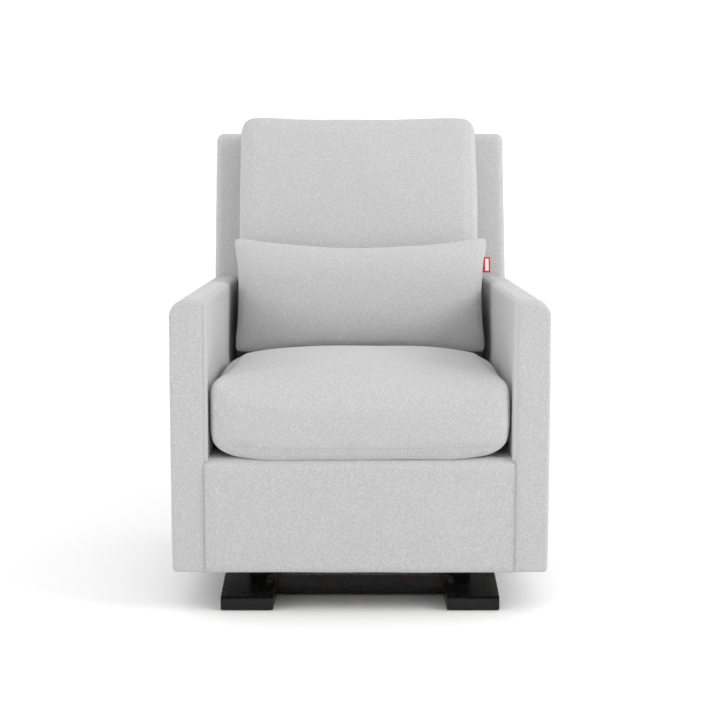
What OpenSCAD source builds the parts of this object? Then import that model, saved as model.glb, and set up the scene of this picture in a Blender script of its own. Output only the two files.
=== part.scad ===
// Upholstered nursery chair that glides on a four-bar base. Front faces -Y, +Z is up.
// The origin is on the floor under the middle of the chair's outline.

/* [Body] */
// Width over both arms
chair_w = 760; // [633:1:912]
// Depth from the arm fronts to the top rear edge of the back
chair_d = 940; // [784:1:1128]
// Height of the arm tops
arm_h = 640; // [580:1:740]
// Thickness of each arm
arm_t = 75; // [62:1:90]
// Height of the lower edge of the upholstery
skirt_z = 87; // [75:1:104]
// Height of the seat deck under the cushion
deck_z = 321; // [300:1:385]
// Thickness of the padded covering on the frame
cover_t = 6; // [4:0.5:9]
// Thickness of the padding on the arms
arm_pad_t = 12; // [8:0.5:16]

/* [Back] */
// How far each side of the back stands in from the outer face of the arm under it
back_inset = 19; // [12:0.5:30]
// Height of the back's frame
back_h = 994; // [900:1:1190]
// Lean of the back's front face, degrees
back_rake = 15.6; // [12:0.1:19]
// Lean of the back's rear face, degrees
rear_rake = 10.5; // [8:0.1:13]
// Horizontal depth of the back at its top
back_top_t = 93; // [78:1:112]

/* [Cushions] */
// Gap between each arm and the seat cushion
seat_gap = 2; // [1:0.5:8]
// Height of the seat cushion's crown above the deck
seat_crown = 203; // [170:1:243]
// Height of the seat cushion's rear edge above the deck
seat_rear = 128; // [107:1:150]
// Gap between each arm and the back cushion
back_cushion_gap = 16; // [10:0.5:24]
// Thickness of the back cushion
back_cushion_t = 150; // [125:1:165]
// Gap between each arm and the lumbar pillow
pillow_gap = 17; // [10:0.5:40]
// Height of the lumbar pillow
pillow_h = 272; // [227:1:300]
// Thickness of the lumbar pillow
pillow_t = 108; // [90:1:120]

/* [Base] */
// Width of each floor runner at its widest
runner_w = 116; // [97:1:139]
// Thickness of the floor runners
runner_t = 26; // [22:1:31]
// Thickness of the floor pads
pad_t = 2; // [1.5:0.1:3]
// Width of the crossbars, front to rear
crossbar_w = 86; // [72:1:103]
// Thickness of the crossbars
crossbar_t = 18; // [14:1:20]

/* [Mechanism] */
// Radius of the pivot pins
pin_r = 6; // [5:0.1:7]
// Radial clearance of a pin in its bearing
pin_clear = 0.05; // [0.02:0.01:0.1]
// Thickness of the steel plates
plate_t = 6; // [5:0.5:7]
// Swing of the links each way from rest, degrees
swing = 18; // [12:1:18]

/* [Hidden] */
$fn = 48;
eps = 0.5; // how far a cut runs past a face

front = -chair_d / 2;
rear_top = chair_d / 2;
arm_in = chair_w / 2 - arm_t;
body_in = arm_in - 1; // half width of what fits between the arms
back_w = chair_w - 2 * back_inset;
back_cushion_w = 2 * (arm_in - back_cushion_gap);
pillow_w = 2 * (arm_in - pillow_gap);

// front and rear faces of the back at height z
function rear_at(z) = rear_top - (back_h - z) * tan(rear_rake);
function face_at(z) = rear_top - back_top_t - (back_h - z) * tan(back_rake);

// points of a circular arc, from angle a to angle b
function arc(cx, cy, r, a, b, n = 8) =
  [for (i = [0:n]) [cx + r * cos(a + (b - a) * i / n), cy + r * sin(a + (b - a) * i / n)]];

// plate with a side outline in Y and Z, from x0 to x1
module side_plate(x0, x1, outline) {
  translate([x0, 0, 0]) rotate([90, 0, 90]) linear_extrude(x1 - x0) polygon(outline);
}

// cylinder along +X from x0 to x1 at y, z
module rod(x0, x1, y, z, r) {
  translate([x0, y, z]) rotate([0, 90, 0]) cylinder(r = r, h = x1 - x0);
}

module box(x0, x1, y0, y1, z0, z1) {
  translate([x0, y0, z0]) cube([x1 - x0, y1 - y0, z1 - z0]);
}

// the same thing on both sides
module both() {
  children();
  mirror([1, 0, 0]) children();
}

/* ---- heights and places of the mechanism ---- */
side_rail_t = 37;
rail_in = arm_in - side_rail_t;      // inner face of the side rails, outer face of the hangers
hanger_in = rail_in - plate_t;
bearing_l = 12;
bearing_out = hanger_in - 8;
bearing_in = bearing_out - bearing_l;
link_in = bearing_in + (bearing_l - plate_t) / 2;
stand_out = bearing_in - 4;
stand_in = stand_out - plate_t;
eye_r = pin_r + 11;
bearing_r = pin_r + 5;
lower_z = skirt_z + eye_r + 1;
upper_z = deck_z - 66;
link_l = upper_z - lower_z;
front_pivot_y = front + 260;
rear_pivot_y = rear_at(skirt_z) - 172;
runner_top = pad_t + runner_t;
runner_out = arm_in - 13;
runner_in = runner_out - runner_w;
runner_y0 = front + 25;
runner_y1 = rear_pivot_y + 140;
front_bar_y = runner_y0 + 104;
rear_bar_y = rear_pivot_y + 32;
bar_z = pad_t + 4;
bar_tongue = 30;     // length of each crossbar end inside a runner
bar_clear = 0.2;
foot_w = 36;
foot_half = 62;      // half length of a stand's foot
foot_bolt_y = 42;    // foot bolts, each way from the pivot
rail_z0 = deck_z - 86; // lower and upper edges of the side rails
rail_z1 = deck_z - 23;

/* ---- base ---- */
module runner(side) {
  nose_r = 10;
  taper_l = 180;
  taper_out = 7;
  taper_in = 2;
  color([0.03, 0.03, 0.03]) difference() {
    intersection() {
      side_plate(runner_in - 1, runner_out + 1, concat(
        [[runner_y1, pad_t], [runner_y1, runner_top]],
        arc(runner_y0 + nose_r, runner_top - nose_r, nose_r, 90, 180),
        arc(runner_y0 + 3, pad_t + 3, 3, 180, 270, 4)));
      linear_extrude(runner_top + 1) polygon([
        [runner_in + taper_in, runner_y0 - 1], [runner_out - taper_out, runner_y0 - 1],
        [runner_out, runner_y0 + taper_l], [runner_out, runner_y1 + 1],
        [runner_in, runner_y1 + 1], [runner_in, runner_y0 + taper_l]]);
    }
    for (y = [front_bar_y, rear_bar_y]) {
      box(runner_in - 5, runner_in + bar_tongue + bar_clear, y - bar_clear,
        y + crossbar_w + bar_clear, bar_z - bar_clear, bar_z + crossbar_t + bar_clear);
      crossbar_bolts(y, 4.2, 0);
    }
    foot_bolts(4.2, 0);
  }
}
module left_runner() { mirror([1, 0, 0]) runner(); }
module right_runner() { runner(); }

// bolts or their holes that hold a crossbar's tongue, on the +X side
module crossbar_bolts(y, r, head) {
  // kept on the side of the crossbar that is away from the stand's foot
  edge = 16;
  pitch = 26;
  tip = bar_z + 4;
  past = head > 0 ? 0 : eps;
  first = y < 0 ? edge : crossbar_w - edge - pitch;
  for (dy = [first, first + pitch]) translate([runner_in + bar_tongue / 2, y + dy, 0]) {
    translate([0, 0, tip]) cylinder(r = r, h = runner_top - tip + past);
    if (head > 0) translate([0, 0, runner_top]) cylinder(r = 8, h = head);
  }
}

// bolts or their holes that hold the stands' feet, on the +X side
module foot_bolts(r, head) {
  from_plate = 20;
  tip = pad_t + 8;
  seat = runner_top + plate_t;
  past = head > 0 ? 0 : eps;
  for (y = [front_pivot_y, rear_pivot_y], dy = [-foot_bolt_y, foot_bolt_y])
    translate([stand_in - from_plate, y + dy, 0]) {
      translate([0, 0, tip]) cylinder(r = r, h = seat - tip + past);
      if (head > 0) translate([0, 0, seat]) cylinder(r = 7.5, h = head);
    }
}

module crossbar(y) {
  half = runner_in + bar_tongue;
  color([0.03, 0.03, 0.03]) difference() {
    box(-half, half, y, y + crossbar_w, bar_z, bar_z + crossbar_t);
    both() crossbar_bolts(y, 4.2, 0);
  }
}
module front_crossbar() { crossbar(front_bar_y); }
module rear_crossbar() { crossbar(rear_bar_y); }

module floor_pads() {
  color([0.08, 0.08, 0.08]) both() for (y = [runner_y0 + 45, (runner_y0 + runner_y1) / 2, runner_y1 - 45])
    translate([(runner_in + runner_out) / 2, y, 0]) cylinder(r = 18, h = pad_t);
}

module base_bolts() {
  color([0.1, 0.1, 0.1]) both() for (y = [front_bar_y, rear_bar_y]) crossbar_bolts(y, 4, 5);
}

module stand_bolts() {
  color([0.1, 0.1, 0.1]) both() foot_bolts(4, 5);
}

bumper_r = 8;
bumper_reach = 88;   // along the link from the upper pivot
link_half = 13;
// place of a rubber stop, so that it meets the link at the end of its swing
function bumper_at(y, s) = let (off = link_half + bumper_r + 0.4)
  [y + s * (bumper_reach * sin(swing) + off * cos(swing)),
   upper_z - bumper_reach * cos(swing) + off * sin(swing)];

// upright with the fixed pivot at its top and a foot on the runner, on the +X side
module stand(y) {
  shoulder_z = upper_z - 60;
  top_r = 20;
  color([0.06, 0.06, 0.06]) difference() {
    union() {
      side_plate(stand_in, stand_out, concat(
        [[y - foot_half, runner_top], [y + foot_half, runner_top], [y + foot_half, shoulder_z]],
        arc(y, upper_z, top_r, 20, 160, 12), [[y - foot_half, shoulder_z]]));
      box(stand_in - foot_w, stand_in + 1, y - foot_half, y + foot_half, runner_top, runner_top + plate_t);
    }
    rod(stand_in - eps, stand_out + eps, y, upper_z, pin_r);
    for (s = [-1, 1]) rod(stand_in - eps, stand_out + eps, bumper_at(y, s)[0], bumper_at(y, s)[1], 3.1);
    foot_bolts(4.2, 0);
  }
}
module front_right_stand() { stand(front_pivot_y); }
module rear_right_stand() { stand(rear_pivot_y); }
module front_left_stand() { mirror([1, 0, 0]) stand(front_pivot_y); }
module rear_left_stand() { mirror([1, 0, 0]) stand(rear_pivot_y); }

cap_t = 2.5;
cap_r = pin_r + 3;
head_t = 5;
head_r = pin_r + 4;

module upper_pivot_pins() {
  color("silver") both() for (y = [front_pivot_y, rear_pivot_y]) {
    rod(stand_in - head_t, stand_in, y, upper_z, head_r);
    rod(stand_in - 1, bearing_out + cap_t + 1, y, upper_z, pin_r);
  }
}
module upper_pin_caps() {
  color("silver") both() for (y = [front_pivot_y, rear_pivot_y]) difference() {
    rod(bearing_out + 0.5, bearing_out + 0.5 + cap_t, y, upper_z, cap_r);
    rod(bearing_out, bearing_out + cap_t + 1, y, upper_z, pin_r);
  }
}
module stop_bumpers() {
  color([0.05, 0.05, 0.05]) both() for (y = [front_pivot_y, rear_pivot_y], s = [-1, 1]) {
    rod(stand_out, link_in + plate_t, bumper_at(y, s)[0], bumper_at(y, s)[1], bumper_r);
    rod(stand_in - 2, stand_out + 1, bumper_at(y, s)[0], bumper_at(y, s)[1], 3);
  }
}

/* ---- swinging links ---- */
module link(y) {
  color([0.12, 0.12, 0.12]) difference() {
    union() {
      rod(link_in, link_in + plate_t, y, upper_z, eye_r);
      rod(link_in, link_in + plate_t, y, lower_z, eye_r);
      box(link_in, link_in + plate_t, y - link_half, y + link_half, lower_z, upper_z);
    }
    for (z = [upper_z, lower_z]) rod(link_in - eps, link_in + plate_t + eps, y, z, bearing_r);
  }
}
module bearings(y) {
  color([0.85, 0.85, 0.82]) both() for (z = [upper_z, lower_z]) difference() {
    rod(bearing_in, bearing_out, y, z, bearing_r);
    rod(bearing_in - eps, bearing_out + eps, y, z, pin_r + pin_clear);
  }
}
module front_right_link() { link(front_pivot_y); }
module rear_right_link() { link(rear_pivot_y); }
module front_left_link() { mirror([1, 0, 0]) link(front_pivot_y); }
module rear_left_link() { mirror([1, 0, 0]) link(rear_pivot_y); }
module front_link_bearings() { bearings(front_pivot_y); }
module rear_link_bearings() { bearings(rear_pivot_y); }

/* ---- hangers under the seat box ---- */
hanger_half = 25;
hanger_bolt_z = rail_z1 - 13;
hanger_bolt_r = 3;

module hanger(y) {
  color([0.06, 0.06, 0.06]) difference() {
    side_plate(hanger_in, rail_in, concat(
      [[y + hanger_half, rail_z1 - 1], [y - hanger_half, rail_z1 - 1], [y - hanger_half, rail_z0]],
      arc(y, lower_z, eye_r, 190, 350, 12), [[y + hanger_half, rail_z0]]));
    rod(hanger_in - eps, rail_in + eps, y, lower_z, pin_r);
    hanger_bolt_set(y, hanger_bolt_r + 0.2, false);
  }
}
module hanger_bolt_set(y, r, heads) {
  bolt_tip = rail_in + 28;
  for (dy = [-14, 14]) {
    rod(hanger_in - (heads ? 0 : eps), bolt_tip + (heads ? 0 : eps), y + dy, hanger_bolt_z, r);
    if (heads) rod(hanger_in - 4, hanger_in, y + dy, hanger_bolt_z, 6);
  }
}
module front_right_hanger() { hanger(front_pivot_y); }
module rear_right_hanger() { hanger(rear_pivot_y); }
module front_left_hanger() { mirror([1, 0, 0]) hanger(front_pivot_y); }
module rear_left_hanger() { mirror([1, 0, 0]) hanger(rear_pivot_y); }
module hanger_bolts() {
  color([0.1, 0.1, 0.1]) both() for (y = [front_pivot_y, rear_pivot_y])
    hanger_bolt_set(y, hanger_bolt_r, true);
}
module lower_pivot_pins() {
  color("silver") both() for (y = [front_pivot_y, rear_pivot_y]) {
    rod(bearing_in - cap_t - 0.5, rail_in + 1, y, lower_z, pin_r);
    rod(rail_in, rail_in + head_t, y, lower_z, head_r);
  }
}
module lower_pin_caps() {
  color("silver") both() for (y = [front_pivot_y, rear_pivot_y]) difference() {
    rod(bearing_in - cap_t - 0.5, bearing_in - 0.5, y, lower_z, cap_r);
    rod(bearing_in - cap_t - 1, bearing_in, y, lower_z, pin_r);
  }
}

/* ---- seat box ---- */
board_t = 22;
board_y0 = front + cover_t + 2;
board_y1 = board_y0 + board_t;
board_z0 = skirt_z + 8;
arm_bolt_r = 4;
arm_bolt_z = (rail_z0 + rail_z1) / 2;
arm_bolt_ys = [board_y1 + 60, (front_pivot_y + rear_pivot_y) / 2, rear_pivot_y + 105];
panel_in = arm_in + arm_pad_t + 0.2; // inner face of the plywood in an arm
panel_t = 18;

module arm_bolt_set(r, heads) {
  for (y = arm_bolt_ys) {
    rod(rail_in - (heads ? 0 : eps), panel_in + panel_t + 6, y, arm_bolt_z, r);
    if (heads) rod(rail_in - 5, rail_in, y, arm_bolt_z, 7.5);
  }
}
module arm_bolts() {
  color([0.6, 0.6, 0.6]) both() arm_bolt_set(arm_bolt_r, true);
}

module side_rail() {
  color([0.8, 0.66, 0.46]) difference() {
    side_plate(rail_in, arm_in, [
      [board_y1, rail_z0], [rear_at(rail_z0) - cover_t - 1, rail_z0],
      [rear_at(rail_z0) - cover_t - 1, rail_z1], [board_y1, rail_z1]]);
    arm_bolt_set(arm_bolt_r + 0.2, false);
    for (y = [front_pivot_y, rear_pivot_y]) hanger_bolt_set(y, hanger_bolt_r + 0.2, false);
  }
}
module right_side_rail() { side_rail(); }
module left_side_rail() { mirror([1, 0, 0]) side_rail(); }

module front_board() {
  color([0.8, 0.66, 0.46]) box(-body_in, body_in, board_y0, board_y1, board_z0, rail_z1);
}
rear_board_t = 20;
module rear_board() {
  half = rail_in - 0.5;
  y0 = rear_at(board_z0) - cover_t - 1 - rear_board_t;
  y1 = rear_at(rail_z1) - cover_t - 1 - rear_board_t;
  color([0.8, 0.66, 0.46]) side_plate(-half, half,
    [[y0, board_z0], [y0 + rear_board_t, board_z0], [y1 + rear_board_t, rail_z1], [y1, rail_z1]]);
}
module corner_blocks() {
  leg = 60;
  y0 = board_y1;
  color([0.75, 0.6, 0.42]) both() translate([0, 0, rail_z0]) linear_extrude(spring_z - 4 - rail_z0)
    polygon([[rail_in, y0], [rail_in - leg, y0], [rail_in, y0 + leg - 10]]);
}

spring_wire_r = 1.9;
spring_z = rail_z1 - spring_wire_r - 0.5;
spring_pitch = 24;
spring_half = 19;
springs = 5;
// centre line of one sinuous spring, front to rear
function spring_point(i, n, y0, y1) = let (t = i / n, loops = round((y1 - y0) / spring_pitch / 2))
  [spring_half * sin(360 * loops * t), y0 + (y1 - y0) * t];

// ribbon of hexagonal rings along a flat path
module wire(path, r, z) {
  sides = 6;
  n = len(path);
  rings = [for (i = [0:n - 1])
    let (a = path[max(i - 1, 0)], b = path[min(i + 1, n - 1)], d = (b - a) / norm(b - a))
    for (k = [0:sides - 1]) let (w = r * cos(60 * k), h = r * sin(60 * k))
      [path[i][0] - d[1] * w, path[i][1] + d[0] * w, z + h]];
  faces = concat(
    [for (i = [0:n - 2], k = [0:sides - 1]) let (m = (k + 1) % sides)
      [i * sides + k, (i + 1) * sides + k, (i + 1) * sides + m, i * sides + m]],
    [[for (k = [0:sides - 1]) k]],
    [[for (k = [sides - 1:-1:0]) (n - 1) * sides + k]]);
  polyhedron(rings, faces, convexity = 10);
}
module seat_springs() {
  y0 = board_y1 + 2.2;
  y1 = face_at(rail_z1) + 10;
  n = 84;
  path = [for (i = [0:n]) spring_point(i, n, y0, y1)];
  reach = rail_in - 48;
  color([0.55, 0.56, 0.58]) for (k = [0:springs - 1])
    translate([-reach + 2 * reach * k / (springs - 1), 0, 0]) wire(path, spring_wire_r, spring_z);
}

roll_r = 24;
roll_back = 45;
module front_cover() {
  color([0.78, 0.78, 0.78]) side_plate(-body_in, body_in, concat(
    [[front, skirt_z]], arc(front + roll_r, deck_z - roll_r, roll_r, 180, 90),
    [[front + roll_back, deck_z], [front + roll_back, rail_z1 + 1], [front + cover_t + 1, rail_z1 + 1],
     [front + cover_t + 1, skirt_z]]));
}
module seat_deck() {
  color([0.74, 0.74, 0.74]) side_plate(-body_in, body_in, [
    [front + roll_back + 0.5, rail_z1 + 0.5], [face_at(rail_z1) - 1, rail_z1 + 0.5],
    [face_at(rail_z1) - 1, deck_z], [front + roll_back + 0.5, deck_z]]);
}
// cloth under the seat box, open where the mechanism swings
module dust_cover() {
  half = rail_in - 2;
  front_edge = front_pivot_y - foot_half - 66;
  rear_edge = rear_pivot_y + foot_half + 58;
  z0 = skirt_z + 1;
  z1 = skirt_z + 3;
  color([0.1, 0.1, 0.1]) {
    box(-half, half, board_y1 + 1, front_edge, z0, z1);
    box(-half, half, rear_edge, rear_at(board_z0) - cover_t - 22, z0, z1);
  }
}

/* ---- arms ---- */
arm_out = chair_w / 2;
top_out_r = 36;
top_in_r = 11;
foot_r = 9;
module arm_cover() {
  color([0.8, 0.8, 0.8]) difference() {
    intersection() {
      translate([0, rear_top, 0]) rotate([90, 0, 0]) linear_extrude(chair_d) polygon(concat(
        [[arm_in, skirt_z], [arm_out - foot_r, skirt_z]],
        arc(arm_out - foot_r, skirt_z + foot_r, foot_r, 300, 360, 4),
        arc(arm_out - top_out_r, arm_h - top_out_r, top_out_r, 0, 90, 10),
        arc(arm_in + top_in_r, arm_h - top_in_r, top_in_r, 90, 180, 5)));
      side_plate(arm_in - 1, arm_out + 1, [[front, skirt_z], [rear_at(skirt_z), skirt_z],
        [rear_at(arm_h), arm_h], [front, arm_h]]);
    }
    side_plate(arm_in + arm_pad_t, arm_out - arm_pad_t, arm_cavity(0, skirt_z - 1));
    arm_bolt_set(arm_bolt_r + 0.2, false);
  }
}
// side outline of the space inside an arm, less a clearance c, from height z0
function arm_cavity(c, z0) = let (top = arm_h - arm_pad_t - 6 - c) [
  [front + arm_pad_t + c, z0], [rear_at(z0) - arm_pad_t - c, z0],
  [rear_at(top) - arm_pad_t - c, top], [front + arm_pad_t + c, top]];

module arm_frame() {
  bar = 45;
  outer = arm_cavity(0.3, skirt_z + 4);
  z0 = outer[0][1] + bar;
  z1 = outer[2][1] - bar;
  color([0.8, 0.66, 0.46]) difference() {
    side_plate(panel_in, arm_out - arm_pad_t - 0.2, outer);
    side_plate(panel_in + panel_t, arm_out, [
      [outer[0][0] + bar, z0], [rear_at(z0) - arm_pad_t - bar, z0],
      [rear_at(z1) - arm_pad_t - bar, z1], [outer[0][0] + bar, z1]]);
    arm_bolt_set(arm_bolt_r + 0.2, false);
  }
}
module right_arm_cover() { arm_cover(); }
module left_arm_cover() { mirror([1, 0, 0]) arm_cover(); }
module right_arm_frame() { arm_frame(); }
module left_arm_frame() { mirror([1, 0, 0]) arm_frame(); }

/* ---- back ---- */
web_t = 1.5;
frame_in = cover_t + web_t + 0.5; // from the back's front face to its plywood
post_t = 18;
rail_seat_z = back_h - cover_t - 38;

// side outline of the back between two heights, g inside its front and h inside its rear
function back_band(z0, z1, g, h) = [
  [face_at(z0) + g, z0], [rear_at(z0) - h, z0], [rear_at(z1) - h, z1], [face_at(z1) + g, z1]];
// strip along the back's front face, from g to g + t behind it
function front_strip(z0, z1, g, t) = [
  [face_at(z0) + g, z0], [face_at(z0) + g + t, z0], [face_at(z1) + g + t, z1], [face_at(z1) + g, z1]];

module back_post() {
  color([0.8, 0.66, 0.46]) side_plate(body_in - 2 - post_t, body_in - 2,
    back_band(rail_z1 + 0.2, rail_seat_z, frame_in, cover_t + 1));
}
module wing_frame() {
  outer = back_w / 2 - cover_t - 1;
  color([0.8, 0.66, 0.46]) side_plate(outer - post_t, outer,
    back_band(arm_h + 1, rail_seat_z, frame_in, cover_t + 1));
}
module right_back_post() { back_post(); }
module left_back_post() { mirror([1, 0, 0]) back_post(); }
module right_wing_frame() { wing_frame(); }
module left_wing_frame() { mirror([1, 0, 0]) wing_frame(); }

module back_top_rail() {
  outer = back_w / 2 - cover_t - 1;
  color([0.8, 0.66, 0.46]) side_plate(-outer, outer,
    back_band(rail_seat_z + 0.2, back_h - cover_t - 1, frame_in, cover_t + 1));
}
module cross_rail(z) {
  half = body_in - 2.2 - post_t;
  color([0.8, 0.66, 0.46]) side_plate(-half, half, front_strip(z, z + 42, frame_in, 22));
}
module back_mid_rail() { cross_rail(arm_h + 10); }
module back_bottom_rail() { cross_rail(deck_z + 18); }

module back_webbing() {
  straps = 5;
  strap_h = 48;
  z0 = deck_z + 60;
  z1 = back_h - 110;
  color([0.25, 0.25, 0.25]) for (k = [0:straps - 1]) let (z = z0 + (z1 - z0) * k / (straps - 1))
    side_plate(-body_in + 3, body_in - 3, front_strip(z, z + strap_h, cover_t + 0.2, web_t));
}
module back_cover() {
  half = back_w / 2;
  color([0.74, 0.74, 0.74]) difference() {
    side_plate(-half, half, back_band(arm_h, back_h, 0, 0));
    side_plate(-half + cover_t, half - cover_t, back_band(arm_h - 1, back_h - cover_t, cover_t, cover_t));
  }
}
module rear_cover() {
  color([0.74, 0.74, 0.74]) side_plate(-body_in, body_in, [
    [rear_at(skirt_z) - cover_t, skirt_z], [rear_at(skirt_z), skirt_z],
    [rear_at(arm_h), arm_h], [rear_at(arm_h) - cover_t, arm_h]]);
}
module inside_back_cover() {
  color([0.7, 0.7, 0.7]) side_plate(-body_in, body_in, front_strip(rail_z1 + 1, arm_h, 0, cover_t));
}

/* ---- cushions ---- */
// moves a side outline drawn up the back's face and out from it to its place
module on_back_face(x0, x1) {
  translate([x0, face_at(arm_h), arm_h]) rotate([90, 0, 90]) linear_extrude(x1 - x0)
    rotate([0, 0, -back_rake]) children();
}
cushion_gap = 46;     // height of the back cushion's lower edge above the seat cushion's rear
// ends of the back cushion along the face, from the level of the arm tops
cushion_low = (deck_z + seat_rear + cushion_gap - arm_h) / cos(back_rake);
cushion_top = (back_h - arm_h) / cos(back_rake) - 3.5;
module cushion_side(inset) {
  corner = 30;
  rear_corner = 12;
  gap = 0.5; // behind the cushion
  translate([-gap, 0]) hull() for (y = [cushion_low, cushion_top]) let (s = y == cushion_low ? 1 : -1) {
    translate([corner - back_cushion_t, y + s * corner]) circle(r = corner - inset, $fn = 32);
    translate([-rear_corner, y + s * rear_corner]) circle(r = rear_corner - inset, $fn = 16);
  }
}
skin = 1.2; // thickness of a loose cushion's cover
module back_cushion_cover() {
  half = back_cushion_w / 2;
  color([0.8, 0.8, 0.8]) difference() {
    on_back_face(-half, half) cushion_side(0);
    on_back_face(-half + skin, half - skin) cushion_side(skin);
  }
}
module back_cushion_core() {
  half = back_cushion_w / 2 - skin - 0.3;
  color([0.95, 0.93, 0.85]) on_back_face(-half, half) cushion_side(skin + 0.3);
}

seat_y0 = front + 8;
seat_y1 = face_at(deck_z) - 4;
crown_y = seat_y0 + 220; // the crown's place, and the rear end of the slope behind it
rear_r = 25;
rear_y = seat_y1 - rear_r;
module seat_side(inset) {
  low = deck_z + 0.5;
  crown_r = seat_crown / 2 - 2;
  front_low_r = 27;
  front_r = 70;
  front_drop = 30;   // of the rounded front's top below the crown
  heel_r = 12;
  hull() {
    translate([seat_y0 + front_low_r, low + front_low_r]) circle(r = front_low_r - inset, $fn = 32);
    translate([seat_y0 + front_r, low + seat_crown - front_drop - front_r])
      circle(r = front_r - inset, $fn = 48);
    translate([crown_y, low + seat_crown - crown_r]) circle(r = crown_r - inset, $fn = 64);
    translate([rear_y, low + seat_rear - rear_r]) circle(r = rear_r - inset, $fn = 32);
    translate([seat_y1 - heel_r, low + heel_r]) circle(r = heel_r - inset, $fn = 16);
  }
}
module along_x(half) {
  translate([-half, 0, 0]) rotate([90, 0, 90]) linear_extrude(2 * half) children();
}
module seat_cushion_cover() {
  half = arm_in - seat_gap;
  color([0.8, 0.8, 0.8]) difference() {
    along_x(half) seat_side(0);
    along_x(half - skin) seat_side(skin);
  }
}
module seat_cushion_core() {
  color([0.95, 0.93, 0.85]) along_x(arm_in - seat_gap - skin - 0.3) seat_side(skin + 0.3);
}

// the pillow stands in front of the back cushion and leans with it
pillow_out = back_cushion_t + pillow_t / 2 + 2;
pillow_clear = 1;
seat_slope = (seat_crown - seat_rear) / (rear_y - crown_y);
seat_high = deck_z + seat_crown + 2.5; // a little above the crown
// the pillow's lower edge just clears the slope of the seat cushion behind its crown
pillow_foot = (seat_high - seat_slope * (face_at(arm_h) - pillow_out * cos(back_rake) - crown_y) - arm_h
  - pillow_out * sin(back_rake) + pillow_clear) / (cos(back_rake) + seat_slope * sin(back_rake));
pillow_up = pillow_foot + pillow_h / 2;
module pillow_side(inset) {
  middle_r = pillow_h / 3.2;
  edge_r = 7;
  translate([-pillow_out, pillow_up]) hull() {
    scale([pillow_t / 2 / middle_r, 1]) circle(r = middle_r - inset, $fn = 48);
    for (s = [-1, 1]) translate([0, s * (pillow_h / 2 - edge_r)]) circle(r = edge_r - inset, $fn = 16);
  }
}
module pillow_cover() {
  color([0.8, 0.8, 0.8]) difference() {
    on_back_face(-pillow_w / 2, pillow_w / 2) pillow_side(0);
    on_back_face(-pillow_w / 2 + skin, pillow_w / 2 - skin) pillow_side(skin);
  }
}
module pillow_fill() {
  half = pillow_w / 2 - skin - 0.3;
  color("white") on_back_face(-half, half) pillow_side(skin + 0.3);
}
module pillow_label() {
  label_w = 17;
  label_h = 36;
  up = pillow_up + pillow_h / 2 - 82;
  color([0.8, 0.1, 0.12]) on_back_face(pillow_w / 2, pillow_w / 2 + label_w)
    translate([-pillow_out - 1, up]) square([2, label_h]);
}

left_runner();
right_runner();
front_crossbar();
rear_crossbar();
floor_pads();
base_bolts();
front_left_stand();
front_right_stand();
rear_left_stand();
rear_right_stand();
stand_bolts();
upper_pivot_pins();
upper_pin_caps();
stop_bumpers();
front_left_link();
front_right_link();
front_link_bearings();
rear_left_link();
rear_right_link();
rear_link_bearings();
front_left_hanger();
front_right_hanger();
rear_left_hanger();
rear_right_hanger();
hanger_bolts();
lower_pivot_pins();
lower_pin_caps();
left_side_rail();
right_side_rail();
front_board();
rear_board();
corner_blocks();
seat_springs();
seat_deck();
left_arm_frame();
right_arm_frame();
arm_bolts();
left_arm_cover();
right_arm_cover();
front_cover();
left_back_post();
right_back_post();
left_wing_frame();
right_wing_frame();
back_top_rail();
back_mid_rail();
back_bottom_rail();
back_webbing();
back_cover();
rear_cover();
inside_back_cover();
back_cushion_cover();
back_cushion_core();
dust_cover();
seat_cushion_cover();
seat_cushion_core();
pillow_cover();
pillow_fill();
pillow_label();
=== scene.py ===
"""Looks of the glider nursery chair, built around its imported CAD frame. Metres, front towards -Y."""

import math

import bmesh
import bpy
import numpy as np
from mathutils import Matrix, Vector


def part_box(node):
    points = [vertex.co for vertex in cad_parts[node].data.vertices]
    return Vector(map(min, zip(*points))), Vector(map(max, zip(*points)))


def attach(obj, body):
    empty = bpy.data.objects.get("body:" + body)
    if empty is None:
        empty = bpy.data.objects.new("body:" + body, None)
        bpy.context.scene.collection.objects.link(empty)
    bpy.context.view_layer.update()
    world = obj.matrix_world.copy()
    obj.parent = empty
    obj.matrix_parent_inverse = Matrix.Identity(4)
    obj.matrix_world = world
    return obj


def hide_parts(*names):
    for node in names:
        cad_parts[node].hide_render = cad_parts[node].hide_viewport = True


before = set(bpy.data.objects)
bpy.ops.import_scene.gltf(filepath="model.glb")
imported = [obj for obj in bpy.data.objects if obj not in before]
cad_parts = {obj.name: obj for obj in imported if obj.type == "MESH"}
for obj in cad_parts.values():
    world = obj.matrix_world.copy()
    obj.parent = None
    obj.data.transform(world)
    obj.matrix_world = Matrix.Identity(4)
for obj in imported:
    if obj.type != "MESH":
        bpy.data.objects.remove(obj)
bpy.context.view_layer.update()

MM = 0.001

# ---------------------------------------------------------------- places read from the frame


def node_box(name):
    """Low and high corners of a CAD node."""
    low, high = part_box(name)
    return np.array(low, float), np.array(high, float)


ARM_LOW, ARM_HIGH = node_box("right_arm_cover")
FRONT = ARM_LOW[1]
ARM_IN, ARM_OUT = ARM_LOW[0], ARM_HIGH[0]
ARM_TOP = ARM_HIGH[2]
SKIRT = ARM_LOW[2]
DECK = node_box("seat_deck")[1][2]
BACK_LOW, BACK_HIGH = node_box("back_cover")
BACK_HALF = BACK_HIGH[0]
SEAT_LOW, SEAT_HIGH = node_box("seat_cushion_cover")
BACK_RAKE = math.radians(15.6)
REAR_RAKE = math.radians(10.5)
FACE_AT_ARM = BACK_LOW[1]


def face_at(z):
    """Y of the back's front face at height z."""
    return FACE_AT_ARM + (z - ARM_TOP) * math.tan(BACK_RAKE)


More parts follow.
